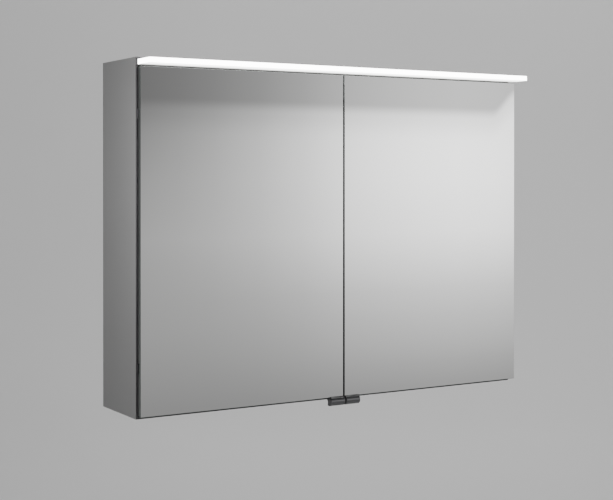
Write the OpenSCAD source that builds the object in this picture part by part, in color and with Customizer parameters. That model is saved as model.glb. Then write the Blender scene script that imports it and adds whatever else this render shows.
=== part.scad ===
// Wall-hung medicine cabinet with two mirror doors and a light bar along its top front edge.
// Millimetres, +Z up, +Y into the wall, front towards -Y.
// The origin is the centre of the four wall screws, in the plane of the wall.

/* [Carcass] */
// Outside width of the cabinet
cabinet_w = 900; // [800:10:1200]
// Height of the side panels
cabinet_h = 680; // [640:10:760]
// Depth of the side panels, from the wall to their front edges
carcass_d = 161; // [150:1:200]
// Thickness of the lacquered boards
board_t = 16; // [16:1:19]
// Thickness of the back board
back_t = 6; // [5:1:8]
// Space behind the back board for hangers and wiring
cavity_d = 18; // [18:1:24]

/* [Doors] */
// Gap between the closed doors and the carcass
door_gap = 3; // [3:0.5:4]
// Gap between the two closed doors
meeting_gap = 3; // [3:0.5:6]
// Height of the carcass edge that shows below the doors
door_reveal = 6.5; // [4:0.5:12]
// Thickness of the door core
core_t = 13; // [13:0.5:16]
// Thickness of the front mirror
mirror_t = 5; // [4:0.5:6]
// Thickness of the mirror on the inside of the door
rear_mirror_t = 3; // [3:0.5:4]
// Distance that the core stays behind the edge of the front mirror
core_inset = 2; // [1:0.5:3]

/* [Finger pulls] */
// Distance from the middle of the cabinet to the outer end of a pull
pull_reach = 35; // [25:1:60]
// Radius of the rounded nose
pull_nose_r = 9.5; // [9:0.5:11]
// Height of the pull's lip in front of the mirror
pull_lap = 2; // [1:0.5:4]

/* [Hinges] */
// Distance of a hinge from the top or bottom edge of its door
hinge_inset = 90; // [70:5:140]
// Distance of the hinge axis from the outer side of the cabinet
pivot_in = 8.5; // [8:0.25:8.5]
// Distance of the hinge axis in front of the door's back face
pivot_out = 9.5; // [9.5:0.1:9.5]
// Radius of the hinge pin
pin_r = 1.5; // [1.2:0.1:1.5]

/* [Shelves] */
// Thickness of the glass shelves
shelf_t = 6; // [5:1:8]
// Depth of the glass shelves
shelf_d = 120; // [90:1:125]
// Heights of the shelf undersides, from the middle of the cabinet
shelf_levels = [-111, 105];
// Radius of the shelf pins
shelf_pin_r = 2.5; // [2:0.5:3]

/* [Light bar] */
// Thickness of the light bar
bar_t = 10; // [10:1:14]
// Depth of the light bar, from the front edge of the carcass
bar_d = 63; // [50:1:80]
// Distance from the top of the cabinet down to the top of the bar
bar_drop = 5; // [3:0.5:6]
// Depth of the aluminium housing behind the diffuser
housing_d = 10; // [10:1:14]
// Number of light-emitting chips
led_count = 30; // [10:1:60]

/* [Wall fixing] */
// Distance between the wall screws across the cabinet
screw_span_x = 600; // [400:10:640]
// Distance between the upper and lower wall screws
screw_span_z = 540; // [540:1:540]
// Radius of the wall screw holes
screw_hole_r = 3; // [2.5:0.5:4]

/* [Hidden] */
$fn = 48;
eps = 0.1;

// Main planes
left_x = -cabinet_w / 2;
inner_x = left_x + board_t;
bottom_z = -cabinet_h / 2;
top_z = cabinet_h / 2;
front_y = -carcass_d;
back_face_y = -(cavity_d + back_t);
door_back_y = front_y - door_gap;
bar_high_z = top_z - bar_drop;
bar_low_z = bar_high_z - bar_t;
bar_mid_z = bar_high_z - bar_t / 2;
door_low_z = bottom_z + door_reveal;
door_high_z = bar_low_z - 3;
door_w = (cabinet_w - meeting_gap) / 2;
hinge_levels = [door_low_z + hinge_inset, door_high_z - hinge_inset];

// Hinge sizes
running = 0.05;
bush_r = pin_r + 0.7;
eye_r = pin_r + 1.7;
arm_h = 10;
arm_t = 4;
ear_t = 3.2;
ear_play = 0.3;
plate_t = 2.5;
plate_h = 40;
plate_back = 58;
plate_front = 8;
leaf_t = 2;
leaf_h = 40;
leaf_start = 14;
leaf_end = 38;
pocket_end = 40;
pocket_h = 42;
pocket_floor = core_t - 2.5;
notch_end = 13;
notch_h = 19;
plate_screw_r = 2.5;
leaf_screw_r = 1.5;
plate_screws = [[-20, 14], [-46, -14]];
leaf_screws = [[32, 14], [32, -14]];

// Door sizes
rear_inset_hinge = 44;
rear_inset = 12;
catch_levels = [-200, 200];
catch_x = 4.5;
magnet_r = 3;
magnet_l = 10;
strike_r = 4;
strike_x = 9;
strike_t = 1;
bumper_levels = [-300, 290];
bumper_x = 6;
bumper_r = 2.4;

// Light bar sizes
housing_wall = 2;
diffuser_wall = 1.5;
end_cap_t = 2;
bracket_xs = [-360, -120, 120, 360];
bracket_w = 30;
bracket_t = 2;
bracket_l = 40;
bracket_screw_r = 1.75;
bracket_screw_y = front_y + 22;

// Wiring
cable_x = 200;
cable_y = -11;
cable_r = 2.2;
cable_bore_r = cable_r + 0.8;
driver_z = [60, 110];
box_z = [-40, 0];
switch_x = 360;
switch_z = 190;
switch_axis_y = -20;
rocker_tilt = 6;

// Access holes, dowels and shelf pins
access_r = 7;
dowel_r = 4;
dowel_l = 30;
dowel_ys = [-40, -120];
pin_hole = 7;
pin_out = 9;
pin_ys = [back_face_y - 20, back_face_y - shelf_d + 20];

module block(low, high) {
    translate(low) cube(high - low);
}

// Children are drawn for the left side and mirrored for the right one
module on_side(side) {
    mirror([side == "right" ? 1 : 0, 0, 0]) children();
}

// +X inwards from the outer side, +Y forwards from the front edge of the carcass
module hinge_place(side) {
    on_side(side)
        for (z = hinge_levels)
            translate([left_x, front_y, z]) mirror([0, 1, 0]) children();
}

module upright(r, h) {
    cylinder(r = r, h = h, center = true);
}

// A rod along X, from x0 to x1
module rod_x(r, x0, x1) {
    translate([x0, 0, 0]) rotate([0, 90, 0]) cylinder(r = r, h = x1 - x0);
}

// A rod along Y, from y0 to y1
module rod_y(r, y0, y1) {
    translate([0, y1, 0]) rotate([90, 0, 0]) cylinder(r = r, h = y1 - y0);
}

// Carcass

module dowels() {
    for (sx = [-1, 1], sz = [-1, 1], y = dowel_ys)
        translate([0, y, sz * (top_z - board_t / 2)])
            rod_x(dowel_r, sx * (-inner_x) - dowel_l / 2, sx * (-inner_x) + dowel_l / 2);
}

module shelf_pin_rods(x_wall, into, out) {
    for (z = shelf_levels, y = pin_ys)
        translate([0, y, z - shelf_pin_r]) rod_x(shelf_pin_r, x_wall - into, x_wall + out);
}

module plate_screw_rods(from, to) {
    for (p = plate_screws)
        translate([0, p[0], p[1]]) rod_x(plate_screw_r, from, to);
}

module side_panel(side) {
    difference() {
        on_side(side) difference() {
            block([left_x, front_y, bottom_z], [inner_x, 0, top_z]);
            shelf_pin_rods(inner_x, pin_hole, eps);
        }
        hinge_place(side) plate_screw_rods(board_t - 11, board_t + eps);
        dowels();
    }
}

module side_panel_left() {
    color("whitesmoke") side_panel("left");
}

module side_panel_right() {
    color("whitesmoke") side_panel("right");
}

module top_panel() {
    color("whitesmoke") difference() {
        block([inner_x, front_y, top_z - board_t], [-inner_x, 0, top_z]);
        dowels();
        light_brackets_shape();
        bracket_screw_shanks();
        translate([cable_x, 0, bar_mid_z]) rod_y(cable_bore_r + 0.6, front_y - eps, cable_y + 5);
        translate([cable_x, cable_y, top_z - board_t - eps])
            cylinder(r = cable_bore_r, h = bar_mid_z - top_z + board_t + eps);
    }
}

module bottom_panel() {
    color("whitesmoke") difference() {
        block([inner_x, front_y, bottom_z], [-inner_x, 0, bottom_z + board_t]);
        dowels();
    }
}

module catch_rods(from, to) {
    for (s = [-1, 1], z = catch_levels)
        translate([s * catch_x, 0, z]) rod_y(magnet_r, from, to);
}

module centre_divider() {
    color("whitesmoke") difference() {
        block([-board_t / 2, front_y, bottom_z + board_t], [board_t / 2, back_face_y, top_z - board_t]);
        shelf_pin_rods(-board_t / 2, eps, pin_hole);
        mirror([1, 0, 0]) shelf_pin_rods(-board_t / 2, eps, pin_hole);
        catch_rods(front_y - eps, front_y + magnet_l);
    }
}

module back_panel() {
    color("gainsboro") difference() {
        block([inner_x, back_face_y, bottom_z + board_t], [-inner_x, -cavity_d, top_z - board_t]);
        for (s = [-1, 1])
            translate([s * screw_span_x / 2, 0, -screw_span_z / 2])
                rod_y(access_r, back_face_y - eps, -cavity_d + eps);
        block([switch_x - 22, back_face_y - eps, switch_z - 26],
              [switch_x + 22, -cavity_d + eps, switch_z + 26]);
    }
}

module panel_dowels() {
    color("burlywood") dowels();
}

// Wall fixing

module wall_rail() {
    rail_half = cabinet_w / 2 - 60;
    rail_z = screw_span_z / 2;
    color("silver") difference() {
        union() {
            block([-rail_half, -2, rail_z - 20], [rail_half, 0, rail_z + 22]);
            block([-rail_half, -7, rail_z + 20], [rail_half, 0, rail_z + 22]);
            block([-rail_half, -7, rail_z + 20], [rail_half, -5, rail_z + 34]);
        }
        for (s = [-1, 1])
            translate([s * screw_span_x / 2, 0, rail_z]) rod_y(screw_hole_r, -2 - eps, eps);
    }
}

module hanger_brackets() {
    hook_z = screw_span_z / 2 + 24;
    hook_top_z = hook_z + 22;
    color("silver")
        for (s = [0, 1]) mirror([s, 0, 0]) {
            block([inner_x, -cavity_d, hook_z - 54], [inner_x + 100, -cavity_d + 3, hook_top_z]);
            block([inner_x, -cavity_d, hook_top_z - 3], [inner_x + 100, -2.5, hook_top_z]);
            block([inner_x, -4.5, hook_z], [inner_x + 100, -2.5, hook_top_z]);
        }
}

module lower_rail() {
    rail_z = -screw_span_z / 2;
    color("whitesmoke") difference() {
        block([inner_x, -cavity_d, rail_z - 30], [-inner_x, 0, rail_z + 30]);
        for (s = [-1, 1])
            translate([s * screw_span_x / 2, 0, rail_z]) rod_y(screw_hole_r, -cavity_d - eps, eps);
    }
}

module access_caps() {
    color("white")
        for (s = [-1, 1])
            translate([s * screw_span_x / 2, 0, -screw_span_z / 2]) {
                rod_y(access_r + 2, back_face_y - 1.2, back_face_y);
                rod_y(access_r, back_face_y, back_face_y + 2);
            }
}

// Shelves

module shelf(side, level) {
    on_side(side)
        block([inner_x + 1, back_face_y - 2 - shelf_d, shelf_levels[level]],
              [-board_t / 2 - 1, back_face_y - 2, shelf_levels[level] + shelf_t]);
}

module shelf_lower_left() {
    color("lightcyan") shelf("left", 0);
}

module shelf_upper_left() {
    color("lightcyan") shelf("left", 1);
}

module shelf_lower_right() {
    color("lightcyan") shelf("right", 0);
}

module shelf_upper_right() {
    color("lightcyan") shelf("right", 1);
}

module shelf_pins(side) {
    on_side(side) {
        shelf_pin_rods(inner_x, pin_hole, pin_out);
        shelf_pin_rods(-board_t / 2, pin_out, pin_hole);
    }
}

module shelf_pins_left() {
    color("silver") shelf_pins("left");
}

module shelf_pins_right() {
    color("silver") shelf_pins("right");
}

module magnet_catches() {
    color("dimgray") catch_rods(front_y, front_y + magnet_l);
}

// Doors: +X inwards from the outer side, +Y forwards from the door's back face

module door_place(side) {
    on_side(side) translate([left_x, door_back_y, 0]) mirror([0, 1, 0]) children();
}

module rear_mirror_block(grow) {
    block([rear_inset_hinge, -grow, door_low_z + rear_inset],
          [door_w - rear_inset, rear_mirror_t, door_high_z - rear_inset]);
}

// Straight-walled recess for a hinge leaf, with a notch that lets the arm out
module hinge_recess() {
    block([notch_end - 1, -eps, -pocket_h / 2], [pocket_end, pocket_floor, pocket_h / 2]);
    block([0, -eps, -notch_h / 2], [notch_end, core_t + eps, notch_h / 2]);
}

module leaf_screw_rods(from, to) {
    for (p = leaf_screws)
        translate([p[0], 0, p[1]]) rod_y(leaf_screw_r, from, to);
}

module strike_rods(r, from, to) {
    for (z = catch_levels)
        translate([-left_x - strike_x, 0, z]) rod_y(r, from, to);
}

module door_mirror(side) {
    door_place(side) block([0, core_t, door_low_z], [door_w, core_t + mirror_t, door_high_z]);
}

module door_core(side) {
    door_place(side) difference() {
        block([core_inset, 0, door_low_z + core_inset],
              [door_w - core_inset, core_t, door_high_z - core_inset]);
        rear_mirror_block(eps);
        strike_rods(strike_r, -eps, strike_t);
        for (z = hinge_levels)
            translate([0, 0, z]) {
                hinge_recess();
                leaf_screw_rods(pocket_floor - eps, pocket_floor + 2);
            }
    }
}

module door_rear_mirror(side) {
    door_place(side) rear_mirror_block(0);
}

// Section: flange under the core, round nose in front of the mirror, finger hollow behind it
module pull_section() {
    nose_y = core_t + mirror_t + 8 - pull_nose_r;
    difference() {
        union() {
            translate([nose_y, pull_lap - pull_nose_r]) circle(pull_nose_r);
            translate([3, -1.5]) square([core_t - 3, 1.5 + core_inset]);
            translate([3, -1.5 - pull_nose_r / 2]) square([core_t - 3, pull_nose_r / 2]);
        }
        translate([core_t, -0.2]) square([mirror_t + 0.3, pull_nose_r]);
        translate([core_t - 9, -pull_nose_r - 1.5]) circle(pull_nose_r - 1.5);
    }
}

module door_pull(side) {
    door_place(side)
        translate([-left_x - pull_reach, 0, door_low_z]) rotate([90, 0, 90])
            linear_extrude(pull_reach - meeting_gap / 2 - 0.5) pull_section();
}

module door_bumpers(side) {
    door_place(side)
        for (z = bumper_levels)
            translate([-left_x - bumper_x, 0, z]) rod_y(bumper_r, -door_gap + 0.1, 0);
}

module strike_plates(side) {
    door_place(side) strike_rods(strike_r, 0, strike_t);
}

module door_mirror_left() {
    color("silver") door_mirror("left");
}

module door_core_left() {
    color("dimgray") door_core("left");
}

module door_rear_mirror_left() {
    color("silver") door_rear_mirror("left");
}

module door_pull_left() {
    color("gray") door_pull("left");
}

module door_bumpers_left() {
    color("lightgray") door_bumpers("left");
}

module strike_plates_left() {
    color("silver") strike_plates("left");
}

module door_mirror_right() {
    color("silver") door_mirror("right");
}

module door_core_right() {
    color("dimgray") door_core("right");
}

module door_rear_mirror_right() {
    color("silver") door_rear_mirror("right");
}

module door_pull_right() {
    color("gray") door_pull("right");
}

module door_bumpers_right() {
    color("lightgray") door_bumpers("right");
}

module strike_plates_right() {
    color("silver") strike_plates("right");
}

// Hinges: one upright axis, a fixed cranked arm and a leaf that carries the door

pivot_y = door_gap + pivot_out;

module at_pivot() {
    translate([pivot_in, pivot_y, 0]) children();
}

module hinge_plates(side) {
    hinge_place(side) difference() {
        block([board_t, -plate_back, -plate_h / 2], [board_t + plate_t, -plate_front, plate_h / 2]);
        plate_screw_rods(board_t - eps, board_t + plate_t + eps);
    }
}

module hinge_arms(side) {
    near = board_t + plate_t;
    far = near + arm_t;
    hinge_place(side) difference() {
        union() {
            at_pivot() upright(eye_r, arm_h);
            translate([0, 0, -arm_h / 2]) linear_extrude(arm_h)
                polygon([[near, -plate_back + 6], [far, -plate_back + 6], [far, 4.5],
                         [pivot_in + 2.5, pivot_y - 1], [pivot_in - 2, pivot_y - 2.3], [near, 2]]);
        }
        at_pivot() upright(bush_r, arm_h + 1);
    }
}

module hinge_bushes(side) {
    hinge_place(side) at_pivot() difference() {
        upright(bush_r, arm_h);
        upright(pin_r + running, arm_h + 1);
    }
}

module hinge_plate_screws(side) {
    hinge_place(side) {
        plate_screw_rods(board_t - 11, board_t + plate_t);
        for (p = plate_screws)
            translate([0, p[0], p[1]]) rod_x(plate_screw_r + 1.5, board_t + plate_t, board_t + plate_t + 1.6);
    }
}

module hinge_leaves(side) {
    leaf_y = door_gap + pocket_floor;
    ear_low = arm_h / 2 + ear_play;
    hinge_place(side) difference() {
        union() {
            block([leaf_start, leaf_y - leaf_t, -leaf_h / 2], [leaf_end, leaf_y, leaf_h / 2]);
            for (s = [0, 1]) mirror([0, 0, s])
                translate([0, 0, ear_low + ear_t / 2]) {
                    at_pivot() upright(eye_r, ear_t);
                    block([pivot_in, pivot_y - eye_r, -ear_t / 2], [leaf_start + 10, leaf_y, ear_t / 2]);
                }
        }
        at_pivot() upright(pin_r, arm_h + 4 * ear_t);
        translate([0, door_gap, 0]) leaf_screw_rods(0, core_t);
    }
}

module hinge_pins(side) {
    hinge_place(side) at_pivot() upright(pin_r, arm_h + 2 * (ear_play + ear_t) + 0.6);
}

module hinge_leaf_screws(side) {
    low = pocket_floor - leaf_t;
    hinge_place(side) translate([0, door_gap, 0]) {
        leaf_screw_rods(low, pocket_floor + 2);
        for (p = leaf_screws)
            translate([p[0], 0, p[1]]) rod_y(leaf_screw_r + 1.3, low - 1.2, low);
    }
}

module hinge_plates_left() {
    color("silver") hinge_plates("left");
}

module hinge_arms_left() {
    color("silver") hinge_arms("left");
}

module hinge_bushes_left() {
    color("white") hinge_bushes("left");
}

module hinge_plate_screws_left() {
    color("silver") hinge_plate_screws("left");
}

module hinge_leaves_left() {
    color("silver") hinge_leaves("left");
}

module hinge_pins_left() {
    color("gray") hinge_pins("left");
}

module hinge_leaf_screws_left() {
    color("silver") hinge_leaf_screws("left");
}

module hinge_plates_right() {
    color("silver") hinge_plates("right");
}

module hinge_arms_right() {
    color("silver") hinge_arms("right");
}

module hinge_bushes_right() {
    color("white") hinge_bushes("right");
}

module hinge_plate_screws_right() {
    color("silver") hinge_plate_screws("right");
}

module hinge_leaves_right() {
    color("silver") hinge_leaves("right");
}

module hinge_pins_right() {
    color("gray") hinge_pins("right");
}

module hinge_leaf_screws_right() {
    color("silver") hinge_leaf_screws("right");
}

// Light bar

board_y = front_y - housing_wall;
bar_x = cabinet_w / 2;

module bracket_screw_shanks() {
    for (x = bracket_xs)
        translate([x, bracket_screw_y, top_z - board_t]) cylinder(r = bracket_screw_r, h = 9);
}

module light_brackets_shape() {
    for (x = bracket_xs)
        block([x - bracket_w / 2, board_y, bar_mid_z - bracket_t / 2],
              [x + bracket_w / 2, front_y + bracket_l, bar_mid_z + bracket_t / 2]);
}

module light_housing() {
    color("darkgray") difference() {
        block([-bar_x + end_cap_t, front_y - housing_d, bar_low_z], [bar_x - end_cap_t, front_y, bar_high_z]);
        block([-bar_x, front_y - housing_d - eps, bar_low_z + housing_wall],
              [bar_x, board_y, bar_high_z - housing_wall]);
        light_brackets_shape();
        translate([cable_x, 0, bar_mid_z]) rod_y(cable_r + 0.3, board_y - eps, front_y + eps);
    }
}

module light_end_caps() {
    color("darkgray")
        for (s = [0, 1]) mirror([s, 0, 0])
            block([-bar_x, front_y - housing_d, bar_low_z], [-bar_x + end_cap_t, front_y, bar_high_z]);
}

module light_diffuser() {
    w = diffuser_wall;
    color("white") difference() {
        block([-bar_x, front_y - bar_d, bar_low_z], [bar_x, front_y - housing_d, bar_high_z]);
        block([-bar_x + 2 * w, front_y - bar_d + w, bar_low_z + w],
              [bar_x - 2 * w, front_y - housing_d + eps, bar_high_z - w]);
    }
}

module light_guide() {
    color("aliceblue")
        block([-bar_x + 4, front_y - bar_d + diffuser_wall + 0.5, bar_low_z + housing_wall + 0.1],
              [bar_x - 4, board_y - 3.5, bar_high_z - housing_wall - 0.1]);
}

module led_board() {
    color("seagreen")
        block([-bar_x + 4, board_y - 1.6, bar_low_z + housing_wall + 0.2],
              [bar_x - 4, board_y, bar_high_z - housing_wall - 0.2]);
}

module led_chips() {
    pitch = (cabinet_w - 30) / led_count;
    color("lightyellow")
        for (i = [0 : led_count - 1])
            translate([(i - (led_count - 1) / 2) * pitch - 1.4, board_y - 2.6, bar_mid_z - 1.4])
                cube([2.8, 1, 2.8]);
}

module light_brackets() {
    color("silver") difference() {
        light_brackets_shape();
        bracket_screw_shanks();
    }
}

module bracket_screws() {
    color("silver") {
        bracket_screw_shanks();
        for (x = bracket_xs)
            translate([x, bracket_screw_y, top_z - board_t - 1.5]) cylinder(r = 3.5, h = 1.5);
    }
}

// Wiring in the cavity behind the back board

module led_driver() {
    z0 = driver_z[0];
    z1 = driver_z[1];
    color("white") {
        block([cable_x - 80, -cavity_d + 2, z0], [cable_x + 80, -2, z1]);
        block([cable_x - 92, -cavity_d, z0 + 5], [cable_x + 92, -cavity_d + 2, z1 - 5]);
    }
}

module junction_box() {
    color("whitesmoke") difference() {
        block([cable_x - 30, -cavity_d, box_z[0]], [cable_x + 30, -2, box_z[1]]);
        block([cable_x - 28, -cavity_d + 2, box_z[0] + 2], [cable_x + 28, -4, box_z[1] - 2]);
        translate([cable_x, -10, box_z[0] - eps]) cylinder(r = 5, h = 2 + 2 * eps);
        translate([cable_x - 15, cable_y, box_z[1] - 3]) cylinder(r = 3, h = 3 + eps);
        translate([0, cable_y, box_z[0] / 2]) rod_x(3, cable_x + 27, cable_x + 31);
    }
}

module cable_gland() {
    color("dimgray") translate([cable_x, -10, box_z[0]]) difference() {
        union() {
            cylinder(r = 5, h = 2);
            translate([0, 0, 2]) cylinder(r = 5.8, h = 2.5);
            translate([0, 0, -5]) cylinder(r = 7, h = 5);
            translate([0, 0, -12]) cylinder(r = 5.5, h = 7);
        }
        translate([0, 0, -13]) cylinder(r = 3.5, h = 20);
    }
}

module light_cable() {
    color("white") translate([cable_x, cable_y, 0]) {
        translate([0, 0, driver_z[1]]) cylinder(r = cable_r, h = bar_mid_z - driver_z[1]);
        translate([0, 0, bar_mid_z]) sphere(cable_r);
        translate([0, -cable_y, bar_mid_z]) rod_y(cable_r, board_y, cable_y);
    }
}

// One cable from the box up to the driver, one from the box to the switch
module supply_cables() {
    low_z = box_z[0] / 2;
    color("white") translate([0, cable_y, 0]) {
        translate([cable_x - 15, 0, box_z[1] - 3]) cylinder(r = 3, h = driver_z[0] - box_z[1] + 3);
        translate([0, 0, low_z]) rod_x(3, cable_x + 27, switch_x);
        translate([switch_x, 0, low_z]) sphere(3);
        translate([switch_x, 0, low_z]) cylinder(r = 3, h = switch_z - 25.5 - low_z);
    }
}

// Light switch, flush in the back board of the right compartment

module switch_base() {
    color("whitesmoke") difference() {
        block([switch_x - 21.5, back_face_y, switch_z - 25.5], [switch_x + 21.5, -6, switch_z + 25.5]);
        block([switch_x - 18.5, back_face_y - eps, switch_z - 22.5], [switch_x + 18.5, -12, switch_z + 22.5]);
        translate([0, switch_axis_y, switch_z]) rod_x(pin_r + running, switch_x - 22, switch_x + 22);
    }
}

module switch_bezel() {
    color("white") difference() {
        block([switch_x - 30, back_face_y - 2, switch_z - 30], [switch_x + 30, back_face_y, switch_z + 30]);
        block([switch_x - 18.5, back_face_y - 3, switch_z - 22.5],
              [switch_x + 18.5, back_face_y + 1, switch_z + 22.5]);
    }
}

// Rocker with two front faces that meet in a shallow V, and a trunnion on each side
module switch_rocker() {
    half_h = 21.5;
    color("white") translate([switch_x, switch_axis_y, switch_z]) rotate([-rocker_tilt, 0, 0]) {
        translate([-18, 0, 0]) rotate([90, 0, 90]) linear_extrude(36)
            polygon([[2, -half_h], [2, half_h], [-7.3, half_h], [-5.1, 0], [-7.3, -half_h]]);
        rod_x(pin_r, -21, 21);
    }
}

side_panel_left();
side_panel_right();
top_panel();
bottom_panel();
centre_divider();
back_panel();
panel_dowels();
wall_rail();
hanger_brackets();
lower_rail();
access_caps();
shelf_lower_left();
shelf_upper_left();
shelf_lower_right();
shelf_upper_right();
shelf_pins_left();
shelf_pins_right();
magnet_catches();
door_mirror_left();
door_core_left();
door_rear_mirror_left();
door_pull_left();
door_bumpers_left();
strike_plates_left();
door_mirror_right();
door_core_right();
door_rear_mirror_right();
door_pull_right();
door_bumpers_right();
strike_plates_right();
hinge_plates_left();
hinge_arms_left();
hinge_bushes_left();
hinge_plate_screws_left();
hinge_leaves_left();
hinge_pins_left();
hinge_leaf_screws_left();
hinge_plates_right();
hinge_arms_right();
hinge_bushes_right();
hinge_plate_screws_right();
hinge_leaves_right();
hinge_pins_right();
hinge_leaf_screws_right();
light_housing();
light_end_caps();
light_diffuser();
light_guide();
led_board();
led_chips();
light_brackets();
bracket_screws();
led_driver();
junction_box();
cable_gland();
light_cable();
supply_cables();
switch_base();
switch_bezel();
switch_rocker();
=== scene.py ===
# Wall-hung medicine cabinet. Two mirror doors on a lacquered carcass, with a slim lit bar along the top front.
import bpy
import bmesh
from math import cos, radians, sin, tau
from mathutils import Matrix, Vector


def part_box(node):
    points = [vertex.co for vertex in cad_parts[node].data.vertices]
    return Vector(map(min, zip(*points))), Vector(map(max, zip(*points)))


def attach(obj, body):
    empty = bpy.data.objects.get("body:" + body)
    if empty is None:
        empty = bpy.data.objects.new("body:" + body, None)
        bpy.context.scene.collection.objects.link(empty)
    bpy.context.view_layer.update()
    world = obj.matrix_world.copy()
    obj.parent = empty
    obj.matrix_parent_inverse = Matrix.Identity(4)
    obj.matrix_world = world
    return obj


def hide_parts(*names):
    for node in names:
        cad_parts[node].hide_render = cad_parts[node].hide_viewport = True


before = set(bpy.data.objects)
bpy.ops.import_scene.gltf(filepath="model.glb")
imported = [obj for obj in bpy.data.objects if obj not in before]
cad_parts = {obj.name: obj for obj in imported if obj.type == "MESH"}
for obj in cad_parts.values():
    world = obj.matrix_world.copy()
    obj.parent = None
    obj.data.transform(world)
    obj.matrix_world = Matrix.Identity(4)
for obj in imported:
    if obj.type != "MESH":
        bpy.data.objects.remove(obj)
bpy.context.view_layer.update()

# Camera. It stands in front and to the left, almost level with the middle of the cabinet, and is shifted down
# so that upright edges stay upright.
camera_data = bpy.data.cameras.new("camera")
camera_data.lens = 75.25
camera_data.shift_y = -0.1129
camera = bpy.data.objects.new("camera", camera_data)
camera.location = (-1.4163, -2.3797, 0.1193)
camera.rotation_euler = (radians(90 - 0.278), 0, radians(-31.127))
bpy.context.collection.objects.link(camera)
bpy.context.scene.camera = camera


# Finishes are written as expressions on sockets. A Value adds Math nodes as it is calculated with, and a Finish
# is one material: its node method adds any other node and gives back the first output as a Value.
class Value:
    def __init__(self, finish, socket):
        self.finish = finish
        self.socket = socket

    def _math(self, operation, first, second):
        return self.finish.node("Math", {"operation": operation}, {0: first, 1: second})

    def __add__(self, other):
        return self._math("ADD", self, other)

    __radd__ = __add__

    def __sub__(self, other):
        return self._math("SUBTRACT", self, other)

    def __rsub__(self, other):
        return self._math("SUBTRACT", other, self)

    def __mul__(self, other):
        return self._math("MULTIPLY", self, other)

    __rmul__ = __mul__

    def __truediv__(self, other):
        return self._math("DIVIDE", self, other)


class Finish:
    def __init__(self, name, **constants):
        self.material = bpy.data.materials.new(name)
        self.material.use_nodes = True
        self.tree = self.material.node_tree
        self.shader = self.tree.nodes["Principled BSDF"]
        for socket, value in constants.items():
            self.shader.inputs[socket.replace("_", " ")].default_value = value

    def node(self, kind, settings=None, inputs=None, output=0):
        made = self.tree.nodes.new("ShaderNode" + kind)
        for key, value in (settings or {}).items():
            if key == "stops":
                ramp = made.color_ramp
                while len(ramp.elements) < len(value):
                    ramp.elements.new(1)
                for element, (place, shade) in zip(ramp.elements, value):
                    element.position = place
                    element.color = shade if len(shade) == 4 else (*shade, 1)
            else:
                setattr(made, key, value)
        for key, value in (inputs or {}).items():
            self.join(value, made.inputs[key])
        return Value(self, made.outputs[output])

    def join(self, value, socket):
        if isinstance(value, Value):
            self.tree.links.new(value.socket, socket)
        else:
            socket.default_value = value

    def place(self, stretch=(1, 1, 1)):
        spot = self.node("TexCoord", output="Object")
        return self.node("Mapping", inputs={"Vector": spot, "Scale": stretch})

    def noise(self, scale, stretch=(1, 1, 1), detail=3.0, rough=0.5):
        inputs = {"Vector": self.place(stretch), "Scale": scale, "Detail": detail, "Roughness": rough}
        return self.node("TexNoise", inputs=inputs)

    def ramp(self, value, low, high):
        return self.node("MapRange", {"interpolation_type": "SMOOTHSTEP"},
                         {"Value": value, "From Min": low, "From Max": high})

    def mix(self, factor, first, second):
        first, second = (tone if isinstance(tone, Value) else (*tone, 1) for tone in (first, second))
        return self.node("Mix", {"data_type": "RGBA"}, {0: factor, 6: first, 7: second}, output=2)

    def give(self, **links):
        for socket, value in links.items():
            self.join(value, self.shader.inputs[socket.replace("_", " ")])
        return self.material

    def bump(self, height, depth):
        relief = self.node("Bump", inputs={"Height": height, "Distance": depth, "Strength": 1.0})
        self.join(relief, self.shader.inputs["Normal"])


# Studio. A pale floor that curves up into a pale wall all round. Soft lights stand in front, overhead and behind
# for the backdrop, and two more shine only on the outer faces of the side panels.
def sweep_profile(bm, points, steps):
    ring = [bm.verts.new(p) for p in points]
    edges = [bm.edges.new(pair) for pair in zip(ring, ring[1:])]
    bmesh.ops.spin(bm, geom=ring + edges, cent=(0, 0, 0), axis=(0, 0, 1), angle=tau, steps=steps,
                   use_merge=True)
    bmesh.ops.remove_doubles(bm, verts=bm.verts, dist=1e-5)
    bmesh.ops.recalc_face_normals(bm, faces=bm.faces)


floor_z = -1.55
wall_r, wall_top = 9.0, 9.0
fillet_r = 3.0
wall_steps = 96
arc = [(wall_r - fillet_r + fillet_r * sin(a), 0, floor_z + fillet_r * (1 - cos(a)))
       for a in (radians(10 * i) for i in range(10))]
bm = bmesh.new()
sweep_profile(bm, [(0, 0, floor_z)] + arc + [(wall_r, 0, wall_top)], wall_steps)
mesh = bpy.data.meshes.new("studio_floor")
bm.to_mesh(mesh)
bm.free()
mesh.polygons.foreach_set("use_smooth", [True] * len(mesh.polygons))
studio_floor = bpy.data.objects.new("studio_floor", mesh)
bpy.context.collection.objects.link(studio_floor)
pale = Finish("studio_paint", Roughness=0.9)
tone = pale.noise(0.6)
mesh.materials.append(pale.give(Base_Color=pale.mix(tone, (0.78, 0.78, 0.78), (0.82, 0.82, 0.82))))

world = bpy.data.worlds.new("studio")
world.use_nodes = True
world.node_tree.nodes["Background"].inputs["Color"].default_value = (1, 1, 1, 1)
world.node_tree.nodes["Background"].inputs["Strength"].default_value = 0.09
bpy.context.scene.world = world


def soft_light(name, place, aim, size, power):
    data = bpy.data.lights.new(name, "AREA")
    data.shape = "SQUARE"
    data.size = size
    data.energy = power
    lamp = bpy.data.objects.new(name, data)
    lamp.location = place
    lamp.rotation_euler = (Vector(aim) - Vector(place)).to_track_quat("-Z", "Y").to_euler()
    lamp.visible_glossy = False
    lamp.visible_camera = False
    bpy.context.collection.objects.link(lamp)
    return lamp


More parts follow.
